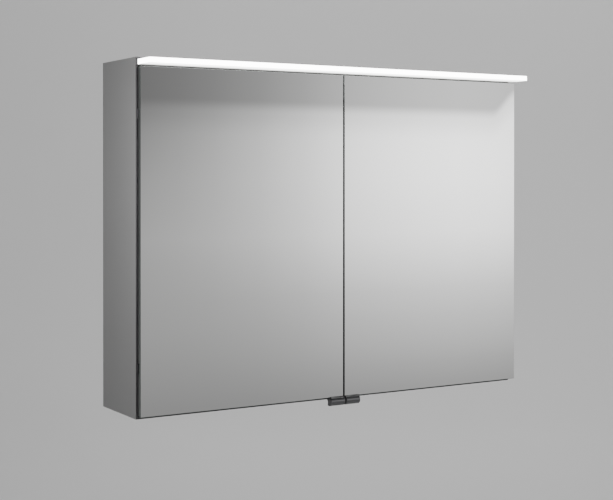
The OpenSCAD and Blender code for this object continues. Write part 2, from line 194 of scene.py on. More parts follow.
soft_light("key_light", (2.5, -4.5, 3.5), (0, 0, 0), 3.5, 90)
side_light = soft_light("side_light", (-0.58, -0.58, 0.15), (-0.45, 0, 0.05), 0.25, 3.3)
far_side_light = soft_light("far_side_light", (2.2, -0.9, 0.7), (0.45, -0.08, 0), 1.0, 14)
side_only = bpy.data.collections.new("lit_by_side_light")
far_side_only = bpy.data.collections.new("lit_by_far_side_light")
side_light.light_linking.receiver_collection = side_only
far_side_light.light_linking.receiver_collection = far_side_only
soft_light("top_light", (0.8, 0.3, 4.0), (0.8, 0.3, 0), 2, 40)
soft_light("backdrop_light", (3.0, 3.0, 4.2), (5.0, 7.5, -0.8), 4, 200)

# The reflector is a soft sheet that only mirrors and other glossy faces show, feathered at its edges. Across it
# the tone climbs from mid grey to white. Up it the tone peaks above the middle, and a darker strip runs along the
# top, which ends on a slant at the right.
card_y = -3.482
card_left, card_right = 1.0, 3.25
card_low, card_high = -1.03, 0.627
bm = bmesh.new()
sheet_left, sheet_right, sheet_low, sheet_high = 0.2, 4.6, -1.7, 1.8
bm.faces.new([bm.verts.new((x, card_y, z)) for x, z in (
    (sheet_left, sheet_low), (sheet_right, sheet_low), (sheet_right, sheet_high), (sheet_left, sheet_high))])
bmesh.ops.recalc_face_normals(bm, faces=bm.faces)
mesh = bpy.data.meshes.new("reflector")
bm.to_mesh(mesh)
bm.free()
reflector = bpy.data.objects.new("reflector", mesh)
bpy.context.collection.objects.link(reflector)
card = Finish("reflector_sheet")
spot = card.node("TexCoord", output="Object")
across, up = (card.node("SeparateXYZ", inputs={"Vector": spot}, output=n) for n in (0, 2))
across = (across - card_left) / (card_right - card_left)
up = (up - card_low) / (card_high - card_low)


def grey(finish, along, stops):
    stops = {"stops": [(place, (shade,) * 3) for place, shade in stops]}
    return finish.node("ValToRGB", stops, {"Fac": along})


climb = grey(card, across, [(0.0, 0.0), (0.09, 0.045), (0.17, 0.1), (0.28, 0.21), (0.39, 0.38), (0.48, 0.57),
                            (0.53, 0.66), (0.61, 0.78), (0.72, 0.92), (0.83, 1.0), (0.94, 0.97), (1.0, 0.9)])
swell = grey(card, up, [(0.02, 0.065), (0.09, 0.1), (0.15, 0.145), (0.24, 0.21), (0.33, 0.315), (0.42, 0.5),
                        (0.51, 0.69), (0.68, 0.93), (0.76, 1.0), (0.9, 1.0)])
ground = grey(card, up, [(0.02, 0.268), (0.09, 0.3), (0.24, 0.365), (0.42, 0.41), (0.51, 0.44), (0.68, 0.375),
                         (0.83, 0.29), (0.9, 0.25)])
edge = up - card.ramp(across, 0.93, 1.01) * 0.075
strip = card.ramp(edge, 0.80, 0.88) * 0.35 + card.ramp(edge, 0.872, 0.915) * 0.65
glow = (ground * (1 - strip * 0.32) + climb * swell * (2.0 - strip * 1.3)) / 0.88
shine = card.node("Emission", inputs={"Color": (1, 1, 1, 1), "Strength": glow})
feather = (card.ramp(across, -0.34, -0.03) * (1 - card.ramp(across, 1.03, 1.55))
           * card.ramp(up, -0.38, -0.02) * (1 - card.ramp(up, 1.05, 1.65)))
sheet = card.node("MixShader", inputs={0: feather, 1: card.node("BsdfTransparent"), 2: shine})
card.join(sheet, card.tree.nodes["Material Output"].inputs["Surface"])
mesh.materials.append(card.material)
for rays in ("camera", "diffuse", "shadow", "transmission"):
    setattr(reflector, "visible_" + rays, False)

# Carcass boards. Two sides, a top, a bottom and a middle upright of 16 mm board, lacquered pale grey, bored for
# the dowels, shelf pins and hinge screws. All front edges but the top's are painted dark grey, as painted shade
# for the shadowed gaps behind the doors.
merge_within = 2e-6


def cast(node):
    """A merged copy of a CAD node, without the lines across its flat faces."""
    bm = bmesh.new()
    bm.from_mesh(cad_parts[node].data)
    bmesh.ops.remove_doubles(bm, verts=bm.verts, dist=merge_within)
    bmesh.ops.dissolve_limit(bm, angle_limit=radians(0.5), verts=bm.verts, edges=bm.edges)
    return bm


def block(bm, low, high):
    """A box between two corners, added to bm."""
    verts = bmesh.ops.create_cube(bm, size=1)["verts"]
    low, high = Vector(low), Vector(high)
    bmesh.ops.scale(bm, vec=high - low, verts=verts)
    bmesh.ops.translate(bm, vec=(low + high) / 2, verts=verts)


def soften(bm, width, segments=2, only=lambda edge: True):
    """Rounds the corners that are sharper than 40 degrees."""
    sharp = [e for e in bm.edges if e.is_manifold and e.calc_face_angle(0) > radians(40) and only(e)]
    bmesh.ops.bevel(bm, geom=sharp, offset=width, segments=segments, profile=0.5, affect="EDGES", material=-1,
                    clamp_overlap=True)


def paint(bm, index, test):
    """Gives the faces that pass the test the material with that number."""
    bm.normal_update()
    for face in bm.faces:
        if test(face):
            face.material_index = index


def piece(name, bm, body, materials, nodes, smooth=35):
    """Makes the object, on its CAD body, in place of its CAD nodes if it has any."""
    mesh = bpy.data.meshes.new(name)
    bm.to_mesh(mesh)
    bm.free()
    mesh.polygons.foreach_set("use_smooth", [True] * len(mesh.polygons))
    mesh.set_sharp_from_angle(angle=radians(smooth))
    for material in materials:
        mesh.materials.append(material)
    obj = bpy.data.objects.new(name, mesh)
    bpy.context.collection.objects.link(obj)
    weight = obj.modifiers.new("even_shading", "WEIGHTED_NORMAL")
    weight.keep_sharp = True
    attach(obj, body)
    if nodes:
        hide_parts(*nodes)
    return obj


def finish_cad(material, *nodes):
    """A CAD node whose shape is right keeps it, and takes a better material."""
    for node in nodes:
        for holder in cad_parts[node].material_slots:
            holder.material = material


def lacquer(name, dark, light, rough):
    coat = Finish(name, IOR=1.5)
    cloud = coat.noise(6, detail=2)
    peel = coat.noise(700, detail=1)
    coat.bump(peel, 0.00001)
    return coat.give(Base_Color=coat.mix(cloud, dark, light), Roughness=rough + cloud * 0.08 + peel * 0.06)


board_lacquer = lacquer("pale_grey_lacquer", (0.43, 0.43, 0.43), (0.47, 0.47, 0.47), 0.36)
# Dark grey painted shade for the board front edges, standing in for the shadowed gaps behind the doors.
gap_shade_band = lacquer("painted_gap_shade", (0.065, 0.065, 0.068), (0.085, 0.085, 0.088), 0.4)
board_bevel = 0.0006
lit_apart = {"side_panel_left": side_only, "side_panel_right": far_side_only}
for node in (*lit_apart, "top_panel", "bottom_panel", "centre_divider", "lower_rail"):
    bm = cast(node)
    soften(bm, board_bevel)
    if node != "top_panel":
        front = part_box(node)[0].y
        paint(bm, 1, lambda face: face.calc_center_median().y < front + 1e-5)
    board = piece(node + "_lacquered", bm, "carcass", [board_lacquer, gap_shade_band], [node])
    if node in lit_apart:
        lit_apart[node].objects.link(board)

# Back board. A 6 mm sheet with a smooth white face, let into the boards, with a cut-out for the switch and two
# round holes that let a driver reach the lower wall screws.
sheet_face = Finish("white_faced_board")
fleck = sheet_face.noise(260, stretch=(1, 1, 0.25), detail=4)
haze = sheet_face.noise(9, detail=2)
sheet_face.bump(fleck, 0.00003)
white = sheet_face.mix(haze * 0.6 + fleck * 0.4, (0.63, 0.63, 0.62), (0.70, 0.70, 0.69))
back_face = sheet_face.give(Base_Color=white, Roughness=0.5 + fleck * 0.12)
bm = cast("back_panel")
soften(bm, 0.0003, 1)
piece("back_board_faced", bm, "carcass", [back_face], ["back_panel"])

# Dowels. Fluted beech pegs, 8 mm across, glued into the board ends where they can't be seen.
beech = Finish("beech", Roughness=0.6)
grain = beech.noise(90, stretch=(0.08, 1, 1), detail=5, rough=0.7)
finish_cad(beech.give(Base_Color=beech.mix(grain, (0.55, 0.36, 0.20), (0.74, 0.54, 0.34))), "panel_dowels")

# Doors. Each is a dark foiled board, edged in pale plastic next to the glass, between a full-size front mirror of
# 5 mm glass and a smaller one inside. The front glass stands out past the board. Its outer and lower edges are
# ground and polished, and its top and meeting edges take the dark back paint as painted shade.
def silvered(name, tint, least_rough):
    face = Finish(name, Metallic=1.0, IOR=1.5)
    film = face.noise(3, detail=1)
    return face.give(Base_Color=face.mix(film, tuple(0.985 * t for t in tint), tint),
                     Roughness=least_rough + film * 0.004)


mirror_face = silvered("silvered_glass", (0.90, 0.90, 0.895), 0.006)
ground_edge = Finish("ground_glass_edge", IOR=1.52)
streak = ground_edge.noise(420, stretch=(0.05, 1, 0.05), detail=2)
glass_edge = ground_edge.give(Base_Color=ground_edge.mix(streak, (0.20, 0.24, 0.225), (0.31, 0.36, 0.34)),
                              Roughness=0.22 + streak * 0.2)
backing_and_edge_shade = Finish("mirror_back_paint_and_edge_shade")
dab = backing_and_edge_shade.noise(320, detail=3)
backing_and_edge_shade.bump(dab, 0.00003)
back_paint_and_edge_shade = backing_and_edge_shade.give(Base_Color=backing_and_edge_shade.mix(dab, (0.20, 0.21, 0.21), (0.27, 0.28, 0.28)),
                           Roughness=0.55 + dab * 0.15)
foil = Finish("dark_foiled_board")
pore = foil.noise(350, stretch=(0.2, 1, 1), detail=3)
foil.bump(pore, 0.00004)
dark_board = foil.give(Base_Color=foil.mix(pore, (0.022, 0.022, 0.024), (0.038, 0.038, 0.04)),
                       Roughness=0.42 + pore * 0.15)
pale_edge = lacquer("pale_door_edge", (0.30, 0.30, 0.30), (0.35, 0.35, 0.35), 0.35)


def mirror(name, node, body, facing, arris):
    low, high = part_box(node)
    bm = bmesh.new()
    block(bm, low, high)
    shown = low.y if facing < 0 else high.y
    soften(bm, arris, 1, only=lambda edge: all(abs(v.co.y - shown) < 1e-6 for v in edge.verts))
    meeting = 1 if high.x < 0 else -1
    paint(bm, 1, lambda face: abs(face.normal.y) < 0.9)
    # The back faces carry real back paint. The top and meeting edges take the same dark paint as painted shade.
    paint(bm, 2, lambda face: (face.normal.y * facing < -0.9 or face.normal.x * meeting > 0.6
                               or face.normal.z > 0.6))
    piece(name, bm, body, [mirror_face, glass_edge, back_paint_and_edge_shade], [node], smooth=20)


pale_t = 0.0075
for side in ("left", "right"):
    body = side + "_door"
    mirror("front_mirror_" + side, "door_mirror_" + side, body, -1, 0.0008)
    mirror("inside_mirror_" + side, "door_rear_mirror_" + side, body, 1, 0.0006)
    low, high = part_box("door_core_" + side)
    bm = cast("door_core_" + side)
    bmesh.ops.bisect_plane(bm, geom=bm.verts[:] + bm.edges[:] + bm.faces[:], plane_co=(0, low.y + pale_t, 0),
                           plane_no=(0, 1, 0))
    soften(bm, 0.0004, 1)
    paint(bm, 1, lambda face: abs(face.normal.y) < 0.8 and face.calc_center_median().y < low.y + pale_t and any(
        abs(face.calc_center_median()[axis] - edge[axis]) < 0.0005 for axis in (0, 2) for edge in (low, high)))
    piece("door_board_" + side, bm, body, [dark_board, pale_edge], ["door_core_" + side])

# Pulls. Short lengths of extruded section under the meeting corners, fixed to the door board. A rounded nose laps
# the bottom edge of the glass. The dark satin metal is brushed along its length.
satin = Finish("satin_brushed_metal", Metallic=1.0)
brush = satin.noise(600, stretch=(0.04, 1, 1), detail=4, rough=0.6)
wear = satin.noise(70, detail=2)
satin.bump(brush, 0.00001)
pull_metal = satin.give(Base_Color=satin.mix(brush, (0.15, 0.15, 0.155), (0.21, 0.21, 0.215)),
                        Roughness=0.24 + brush * 0.12 + wear * 0.06)
for side in ("left", "right"):
    bm = cast("door_pull_" + side)
    soften(bm, 0.0005, 3)
    piece("pull_" + side, bm, side + "_door", [pull_metal], ["door_pull_" + side])


# Door stops and catches. Clear soft domes on the doors meet the middle upright, where magnets in nickelled cups
# sit in its front edge. Each magnet draws a thin disc that is pinned to the back of the door.
arm_limit, pinch = 0.97, 0.42


def turned(bm, profile, place, axis, steps=32, cross=0.0, index=0):
    """Spins a profile of (radius, height) points about an axis through place. Points at the radius of cross and
    inside it are drawn in between the arms, which cuts a cross-shaped recess."""
    part = bmesh.new()
    line = [part.verts.new((r, 0, h)) for r, h in profile]
    edges = [part.edges.new(pair) for pair in zip(line, line[1:])]
    bmesh.ops.spin(part, geom=line + edges, cent=(0, 0, 0), axis=(0, 0, 1), angle=tau, steps=steps,
                   use_merge=True)
    bmesh.ops.remove_doubles(part, verts=part.verts, dist=merge_within)
    for v in part.verts:
        r = Vector((v.co.x, v.co.y)).length
        if cross and v.co.z > 0 and 1e-6 < r <= cross + 1e-6:
            arm = max(abs(v.co.x), abs(v.co.y)) / r
            if arm < arm_limit:
                v.co.x *= pinch
                v.co.y *= pinch
    bmesh.ops.recalc_face_normals(part, faces=part.faces)
    for face in part.faces:
        face.material_index = index
    turn = Vector((0, 0, 1)).rotation_difference(Vector(axis)).to_matrix().to_4x4()
    bmesh.ops.transform(part, matrix=Matrix.Translation(Vector(place)) @ turn, verts=part.verts)
    held = bpy.data.meshes.new("part")
    part.to_mesh(held)
    part.free()
    bm.from_mesh(held)
    bpy.data.meshes.remove(held)


def ends(node):
    """Pairs of (low, high) z values, one for each group of a node's parts up the cabinet."""
    heights = sorted({round(v.co.z, 5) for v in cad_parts[node].data.vertices})
    groups = [[heights[0], heights[0]]]
    for z in heights[1:]:
        if z - groups[-1][1] > 0.03:
            groups.append([z, z])
        groups[-1][1] = z
    return groups


rubber = Finish("clear_soft_plastic", IOR=1.48, Transmission_Weight=0.75)
cloudy = rubber.noise(500, detail=1)
clear_rubber = rubber.give(Base_Color=rubber.mix(cloudy, (0.78, 0.79, 0.78), (0.88, 0.89, 0.88)),
                           Roughness=0.16 + cloudy * 0.1)
plated = Finish("bright_nickel", Metallic=1.0)
dull = plated.noise(380, detail=3)
nickel = plated.give(Base_Color=plated.mix(dull, (0.52, 0.50, 0.46), (0.66, 0.64, 0.60)),
                     Roughness=0.2 + dull * 0.18)
for side in ("left", "right"):
    node = "door_bumpers_" + side
    low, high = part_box(node)
    r, deep, x = (high.x - low.x) / 2, high.y - low.y, (low.x + high.x) / 2
    bm = bmesh.new()
    for bottom, top in ends(node):
        dome = [(0, 0), (r, 0), (r, deep * 0.35), (r * 0.9, deep * 0.7), (r * 0.62, deep * 0.92), (0, deep)]
        turned(bm, dome, (x, low.y, (bottom + top) / 2), (0, 1, 0))
    piece(node + "_domed", bm, side + "_door", [clear_rubber], [node])
    node = "strike_plates_" + side
    low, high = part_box(node)
    r, deep, x = (high.x - low.x) / 2, high.y - low.y, (low.x + high.x) / 2
    bm = bmesh.new()
    for bottom, top in ends(node):
        disc = [(0, 0), (r, 0), (r, deep * 0.75), (r * 0.93, deep), (r * 0.3, deep), (r * 0.2, deep * 0.6),
                (0, deep * 0.5)]
        turned(bm, disc, (x, low.y, (bottom + top) / 2), (0, 1, 0))
    piece(node + "_pinned", bm, side + "_door", [nickel], [node])

sintered = Finish("magnet_face", Metallic=0.8)
crumb = sintered.noise(900, detail=3)
magnet_face = sintered.give(Base_Color=sintered.mix(crumb, (0.10, 0.10, 0.105), (0.17, 0.17, 0.18)),
                            Roughness=0.4 + crumb * 0.2)
low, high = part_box("magnet_catches")
magnet_r = 0.003
magnet_x = high.x - magnet_r
bm = bmesh.new()
deep, sunk = high.y - low.y, 0.0003
cup = [(0, 0), (magnet_r, 0), (magnet_r, deep - 0.0002), (magnet_r * 0.94, deep), (magnet_r * 0.82, deep),
       (magnet_r * 0.78, deep - sunk), (0, deep - sunk)]
for bottom, top in ends("magnet_catches"):
    for x in (-magnet_x, magnet_x):
        turned(bm, cup, (x, high.y, (bottom + top) / 2), (0, -1, 0), steps=24)
paint(bm, 1, lambda face: abs(face.calc_center_median().y - low.y - sunk) < 0.0001 and face.normal.y < -0.9)
piece("magnets_in_cups", bm, "carcass", [nickel, magnet_face], ["magnet_catches"])

# Hinges. Two on each outer side. A plate screwed to the side panel holds a cranked arm, and a leaf let into the
# door board turns on a steel pin through the arm's nylon-bushed eye. The pressed parts are painted near-black, as
# painted shade that lets them sink into the shadowed gap beside the door.
# Near-black painted shade for the hinge plates, arms and leaves.
hinge_shade_plate = Finish("hinge_plate_painted_shade", Metallic=1.0)
tumble = hinge_shade_plate.noise(240, detail=4)
hinge_shade_plate.bump(tumble, 0.00001)
hinge_metal = hinge_shade_plate.give(Base_Color=hinge_shade_plate.mix(tumble, (0.12, 0.12, 0.13), (0.19, 0.19, 0.20)),
                               Roughness=0.26 + tumble * 0.16)
bright_steel = Finish("zinc_screw_steel", Metallic=1.0)
spot = bright_steel.noise(700, detail=3)
screw_metal = bright_steel.give(Base_Color=bright_steel.mix(spot, (0.38, 0.38, 0.40), (0.54, 0.54, 0.56)),
                                Roughness=0.24 + spot * 0.16)
slick = Finish("natural_nylon", IOR=1.53)
milk = slick.noise(300, detail=2)
nylon = slick.give(Base_Color=slick.mix(milk, (0.62, 0.61, 0.57), (0.72, 0.71, 0.67)),
                   Roughness=0.38 + milk * 0.1)


def screw(bm, head_at, into, head_r, head_t, shank_r, length, index=0):
    """A pan-head screw with a cross recess. head_at is under the head, on the face it bears on."""
    recess = head_r * 0.58
    profile = [(0, -length), (shank_r * 0.3, -length), (shank_r, -length * 0.72), (shank_r, 0), (head_r, 0),
               (head_r, head_t * 0.4), (head_r * 0.93, head_t * 0.72), (head_r * 0.78, head_t * 0.92),
               (recess * 1.12, head_t), (recess, head_t), (recess * 0.82, head_t * 0.42), (0, head_t * 0.3)]
    turned(bm, profile, head_at, [-c for c in into], steps=32, cross=recess, index=index)


plate_screw_r, plate_head_r, plate_head_t = 0.0025, 0.004, 0.0016
leaf_screw_r, leaf_head_r, leaf_head_t = 0.0015, 0.0028, 0.0012
screw_step = 0.014
pin_half, pin_chamfer = 0.0088, 0.0004
for side, sign in (("left", -1), ("right", 1)):
    for node, width in (("hinge_plates_", 0.0006), ("hinge_arms_", 0.0004), ("hinge_leaves_", 0.0003)):
        bm = cast(node + side)
        soften(bm, width)
        body = side + "_door" if node == "hinge_leaves_" else "carcass"
        piece(node + side + "_pressed", bm, body, [hinge_metal], [node + side])

    low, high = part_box("hinge_plate_screws_" + side)
    bm = bmesh.new()
    inner = high.x if sign < 0 else low.x
    outer = low.x if sign < 0 else high.x
    for bottom, top in ends("hinge_plates_" + side):
        middle = (bottom + top) / 2
        for y, step in ((high.y - plate_head_r, -screw_step), (low.y + plate_head_r, screw_step)):
            seat = inner + sign * plate_head_t
            screw(bm, (seat, y, middle + step), (sign, 0, 0), plate_head_r, plate_head_t, plate_screw_r,
                  abs(outer - seat))
    piece("plate_screws_" + side, bm, "carcass", [screw_metal],
          ["hinge_plate_screws_" + side])

    low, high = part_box("hinge_leaf_screws_" + side)
    bm = bmesh.new()
    for bottom, top in ends("hinge_leaves_" + side):
        for step in (-screw_step, screw_step):
            seat = high.y - leaf_head_t
            screw(bm, ((low.x + high.x) / 2, seat, (bottom + top) / 2 + step), (0, -1, 0), leaf_head_r,
                  leaf_head_t, leaf_screw_r, seat - low.y)
    piece("leaf_screws_" + side, bm, side + "_door", [screw_metal],
          ["hinge_leaf_screws_" + side])

    low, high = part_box("hinge_pins_" + side)
    r, x, y = (high.x - low.x) / 2, (low.x + high.x) / 2, (low.y + high.y) / 2
    straight = pin_half - pin_chamfer
    pin = [(0, -pin_half), (r * 0.7, -pin_half), (r, -straight), (r, straight), (r * 0.7, pin_half),
           (0, pin_half)]
    bm = bmesh.new()
    for bottom, top in ends("hinge_leaves_" + side):
        turned(bm, pin, (x, y, (bottom + top) / 2), (0, 0, 1), steps=24)
    piece("hinge_pins_rounded_" + side, bm, side + "_door", [screw_metal],
          ["hinge_pins_" + side])
    finish_cad(nylon, "hinge_bushes_" + side)

# Shelves. Four sheets of 6 mm clear float glass with polished edges, laid on nickelled pins that push into the
# sides and the middle upright. The edges look green because light reaches them through the width of the sheet.
sheet_glass = Finish("clear_shelf_glass", IOR=1.52, Transmission_Weight=1.0)
clean = sheet_glass.noise(5, detail=1)
shelf_glass = sheet_glass.give(Base_Color=sheet_glass.mix(clean, (0.94, 0.97, 0.96), (0.96, 0.985, 0.975)),
                               Roughness=0.002 + clean * 0.006)
rim = Finish("polished_shelf_edge", IOR=1.52, Transmission_Weight=0.5)
depth = rim.noise(60, stretch=(0.1, 0.1, 1), detail=2)
shelf_edge = rim.give(Base_Color=rim.mix(depth, (0.30, 0.52, 0.45), (0.42, 0.64, 0.57)),
                      Roughness=0.08 + depth * 0.08)
for level in ("lower", "upper"):
    for side in ("left", "right"):
        node = f"shelf_{level}_{side}"
        low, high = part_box(node)
        bm = bmesh.new()
        block(bm, low, high)
        soften(bm, 0.0012, 1, only=lambda edge: abs((edge.verts[0].co - edge.verts[1].co).z) > 0.001)
        soften(bm, 0.0007, 2)
        paint(bm, 1, lambda face: abs(face.normal.z) < 0.9)
        piece(node + "_polished", bm, "carcass", [shelf_glass, shelf_edge], [node])

pin_r, pin_out, pin_in, divider_half = 0.0025, 0.009, 0.007, 0.008
pin = [(0, -pin_in), (pin_r * 0.8, -pin_in), (pin_r, -pin_in + 0.0006), (pin_r, 0), (pin_r * 0.99, 0.0002),
       (pin_r * 0.99, pin_out - 0.0008), (pin_r * 0.7, pin_out), (0, pin_out)]
for side, sign in (("left", -1), ("right", 1)):
    node = "shelf_pins_" + side
    low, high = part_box(node)
    bm = bmesh.new()
    outer = low.x if sign < 0 else high.x
    for z in sorted({round((bottom + top) / 2, 5) for bottom, top in ends(node)}):
        for y in (low.y + pin_r, high.y - pin_r):
            for wall, away in ((outer - sign * pin_in, -sign), (sign * divider_half, sign)):
                turned(bm, pin, (wall, y, z), (away, 0, 0), steps=24)
    piece(node + "_turned", bm, "carcass", [nickel], [node])

# Light bar. A shallow anodised housing under two flat brackets on the top panel carries small lamps that shine
# into a clear sheet. An opal cover 53 mm deep wraps round the sheet, and hangs out over the doors. Its underside
# glow is dimmed as painted shade, darkest towards the rear, over the doors.
anodised = Finish("natural_anodised_aluminium", Metallic=1.0)
drawn = anodised.noise(800, stretch=(0.01, 1, 1), detail=3)
anodised.bump(drawn, 0.000008)
aluminium = anodised.give(Base_Color=anodised.mix(drawn, (0.50, 0.50, 0.51), (0.60, 0.60, 0.61)),
                          Roughness=0.34 + drawn * 0.12)
bm = cast("light_housing")
soften(bm, 0.0003, 1)
piece("light_housing_drawn", bm, "carcass", [aluminium], ["light_housing"])
bm = cast("light_end_caps")
soften(bm, 0.0005, 2)
piece("light_end_caps_rounded", bm, "carcass", [aluminium], ["light_end_caps"])
underside_shade_front, underside_shade_rear = -0.198, -0.184


def opal(name, underside):
    acrylic = Finish(name, IOR=1.49, Roughness=0.3, Emission_Strength=14.0)
    even = acrylic.noise(14, stretch=(1, 0.5, 0.5), detail=1)
    white = acrylic.mix(even, (0.97, 0.985, 0.96), (1.0, 1.0, 0.985))
    if underside:
        spot = acrylic.node("TexCoord", output="Object")
        out_from_wall = acrylic.node("SeparateXYZ", inputs={"Vector": spot}, output=1)
        # The underside's glow is painted shade, dimmed from 0.42 to 0.09 towards the rear.
        shade_to_rear = acrylic.ramp(out_from_wall, underside_shade_front, underside_shade_rear)
        white = acrylic.mix(shade_to_rear, (0.42, 0.425, 0.415), (0.09, 0.09, 0.088))
    return acrylic.give(Base_Color=acrylic.mix(even, (0.84, 0.84, 0.83), (0.88, 0.88, 0.87)),
                        Emission_Color=white)


bm = cast("light_diffuser")
soften(bm, 0.0006, 3)
paint(bm, 1, lambda face: face.normal.z < -0.6)
piece("light_diffuser_rounded", bm, "carcass",
      [opal("lit_opal_acrylic", False), opal("opal_underside_painted_shade", True)], ["light_diffuser"])

guide = Finish("clear_light_sheet", IOR=1.49, Transmission_Weight=0.9, Roughness=0.05)
dot = guide.noise(600, detail=1)
finish_cad(guide.give(Base_Color=guide.mix(dot, (0.88, 0.88, 0.88), (0.95, 0.95, 0.95))), "light_guide")
strip_board = Finish("white_circuit_board", Roughness=0.45)
mask = strip_board.noise(200, detail=2)
strip_tone = strip_board.mix(mask, (0.72, 0.72, 0.70), (0.80, 0.80, 0.78))
finish_cad(strip_board.give(Base_Color=strip_tone), "led_board")
phosphor = Finish("yellow_phosphor", Roughness=0.5, Emission_Strength=4.0)
gel = phosphor.noise(900, detail=2)
tint = phosphor.mix(gel, (0.95, 0.80, 0.42), (1.0, 0.88, 0.5))
finish_cad(phosphor.give(Base_Color=tint, Emission_Color=tint), "led_chips")

galvanised = Finish("galvanised_steel", Metallic=1.0)
spangle = galvanised.node("TexVoronoi", {"feature": "F1"}, {"Vector": galvanised.place(), "Scale": 130.0},
                          output=1)
shade = galvanised.node("SeparateColor", inputs={"Color": spangle})
fine = galvanised.noise(900, detail=3)
galvanised.bump(fine, 0.00001)
zinc = galvanised.give(Base_Color=galvanised.mix(shade, (0.42, 0.43, 0.45), (0.60, 0.61, 0.63)),
                       Roughness=0.30 + shade * 0.18 + fine * 0.08)
bm = cast("light_brackets")
soften(bm, 0.0003, 1)
piece("light_brackets_pressed", bm, "carcass", [zinc], ["light_brackets"])
low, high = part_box("bracket_screws")
head_r, head_t, shank_r = 0.0035, 0.0015, 0.0018
bm = bmesh.new()
bracket_screw_xs = (-0.36, -0.12, 0.12, 0.36)
for x in bracket_screw_xs:
    screw(bm, (x, (low.y + high.y) / 2, low.z + head_t), (0, 0, 1), head_r, head_t, shank_r,
          high.z - low.z - head_t)
piece("bracket_screws_pan", bm, "carcass", [screw_metal], ["bracket_screws"])

# Hanging. A galvanised rail is screwed to the wall, and two brackets inside the top corners hook over its lip. The
# lacquered rail at the bottom takes two more screws, and white caps close the holes that lead to them.
bm = cast("wall_rail")
soften(bm, 0.0005)
piece("wall_rail_pressed", bm, "carcass", [zinc], ["wall_rail"])
low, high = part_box("hanger_brackets")
plate_t, bracket_w, screw_up = 0.003, 0.1, 0.012
bm = cast("hanger_brackets")
soften(bm, 0.0005)
for side in (-1, 1):
    for x in (high.x - bracket_w * 0.2, high.x - bracket_w * 0.8):
        screw(bm, (side * x, low.y + plate_t, low.z + screw_up), (0, -1, 0), head_r=0.004, head_t=0.0014,
              shank_r=0.0018, length=0.009, index=1)
piece("hanger_brackets_pressed", bm, "carcass", [zinc, screw_metal], ["hanger_brackets"])


def moulded(name, dark, light, rough, grain_size=1100):
    plastic = Finish(name, IOR=1.46)
    spark = plastic.noise(grain_size, detail=2)
    flow = plastic.noise(12, detail=2)
    plastic.bump(spark, 0.00002)
    return plastic.give(Base_Color=plastic.mix(flow, dark, light), Roughness=rough + spark * 0.12)


white_moulded = moulded("white_moulded_plastic", (0.72, 0.72, 0.71), (0.78, 0.78, 0.77), 0.34)
gloss_moulded = moulded("white_gloss_plastic", (0.75, 0.75, 0.745), (0.80, 0.80, 0.795), 0.18)
low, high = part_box("access_caps")
cap_r, plug_r, rim_t, cap_x = 0.009, 0.007, 0.0012, 0.3
deep = high.y - low.y - rim_t
cap = [(0, -deep), (plug_r * 0.8, -deep), (plug_r * 0.97, -deep + 0.0006), (plug_r, 0), (cap_r, 0),
       (cap_r, rim_t * 0.45), (cap_r * 0.93, rim_t * 0.85), (cap_r * 0.8, rim_t), (0, rim_t)]
bm = bmesh.new()
for x in (-cap_x, cap_x):
    turned(bm, cap, (x, low.y + rim_t, (low.z + high.z) / 2), (0, -1, 0), steps=40)
piece("access_caps_domed", bm, "carcass", [white_moulded], ["access_caps"])

# Wiring, all behind the back board. The driver makes low voltage for the bar, the junction box joins the house
# supply that comes in through its gland, and leads run from it to the driver and across to the switch.
low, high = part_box("led_driver")
foot_t, foot_in, cover, rib_gap = 0.002, 0.012, 0.026, 0.0056
bm = bmesh.new()
rib = low.x + foot_in + cover + rib_gap
while rib < high.x - foot_in - cover - rib_gap:
    block(bm, (rib, high.y - 0.0012, low.z + 0.006), (rib + 0.0022, high.y - 0.0001, high.z - 0.006))
    rib += rib_gap
soften(bm, 0.0003, 2)
ribs = set(bm.edges)
block(bm, (low.x, low.y, low.z + 0.005), (high.x, low.y + foot_t, high.z - 0.005))
block(bm, (low.x + foot_in + 0.001, low.y + foot_t, low.z + 0.0006),
      (high.x - foot_in - 0.001, high.y - 0.0007, high.z - 0.0006))
for start, stop in ((low.x + foot_in, low.x + foot_in + cover), (high.x - foot_in - cover, high.x - foot_in)):
    block(bm, (start, low.y + foot_t, low.z), (stop, high.y, high.z))
soften(bm, 0.0012, 3, only=lambda edge: edge not in ribs)
for x, seat in ((low.x + 0.006, low.y + foot_t), (high.x - 0.006, low.y + foot_t),
                (low.x + foot_in + 0.013, high.y - 0.0011), (high.x - foot_in - 0.013, high.y - 0.0011)):
    screw(bm, (x, seat, (low.z + high.z) / 2), (0, -1, 0), head_r=0.0028, head_t=0.001, shank_r=0.0014,
          length=0.0018, index=1)
piece("driver_case_ribbed", bm, "carcass", [white_moulded, screw_metal], ["led_driver"])

low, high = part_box("junction_box")
lid_t = 0.004
bm = bmesh.new()
block(bm, (low.x + 0.0006, low.y, low.z + 0.0006), (high.x - 0.0006, high.y - lid_t - 0.0004, high.z - 0.0006))
block(bm, (low.x + 0.0018, low.y + 0.001, low.z + 0.0018),
      (high.x - 0.0018, high.y - lid_t + 0.001, high.z - 0.0018))
block(bm, (low.x, high.y - lid_t, low.z), (high.x, high.y - 0.0002, high.z))
soften(bm, 0.0026, 4, only=lambda edge: abs((edge.verts[0].co - edge.verts[1].co).y) > 0.001)
soften(bm, 0.0006, 2)
for x in (low.x + 0.006, high.x - 0.006):
    for z in (low.z + 0.006, high.z - 0.006):
        screw(bm, (x, high.y - 0.001, z), (0, -1, 0), head_r=0.0026, head_t=0.0009, shank_r=0.0014,
              length=0.003, index=1)
piece("junction_box_lidded", bm, "carcass", [white_moulded, screw_metal], ["junction_box"])

